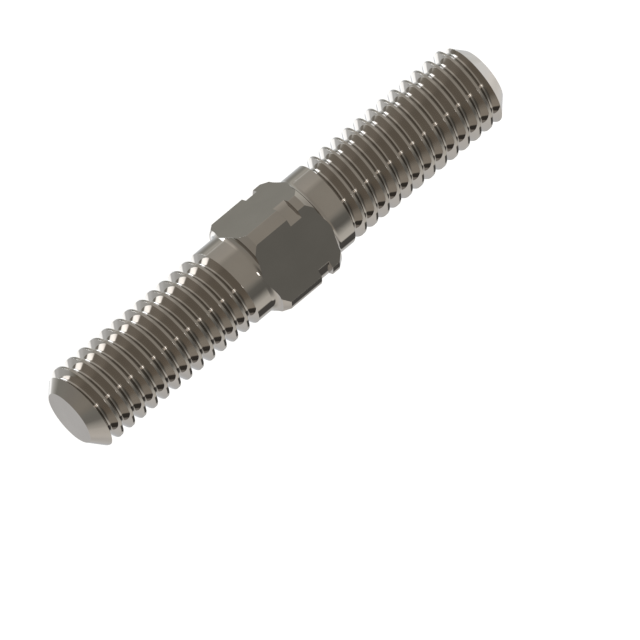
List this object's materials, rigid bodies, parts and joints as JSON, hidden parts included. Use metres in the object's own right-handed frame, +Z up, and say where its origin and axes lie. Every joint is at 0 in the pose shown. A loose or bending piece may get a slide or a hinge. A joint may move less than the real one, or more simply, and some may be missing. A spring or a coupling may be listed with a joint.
{
  "type": "turnbuckle",
  "caption": "One-piece turnbuckle rod with a right-hand thread on one end, a left-hand thread on the other and a square wrench block in the middle, used to adjust a linkage's length.",
  "frame": {"origin": "middle of the rod, on its axis", "axes": "+X along the rod towards the right-hand thread, +Z up through one flat of the block, which lies on the opposite flat"},
  "size_m": [0.018, 0.003, 0.003],
  "materials": {
    "polished_metal": "polished, warm grey"
  },
  "bodies": {
    "root": {"turnbuckle": "polished_metal"}
  },
  "joints": []
}
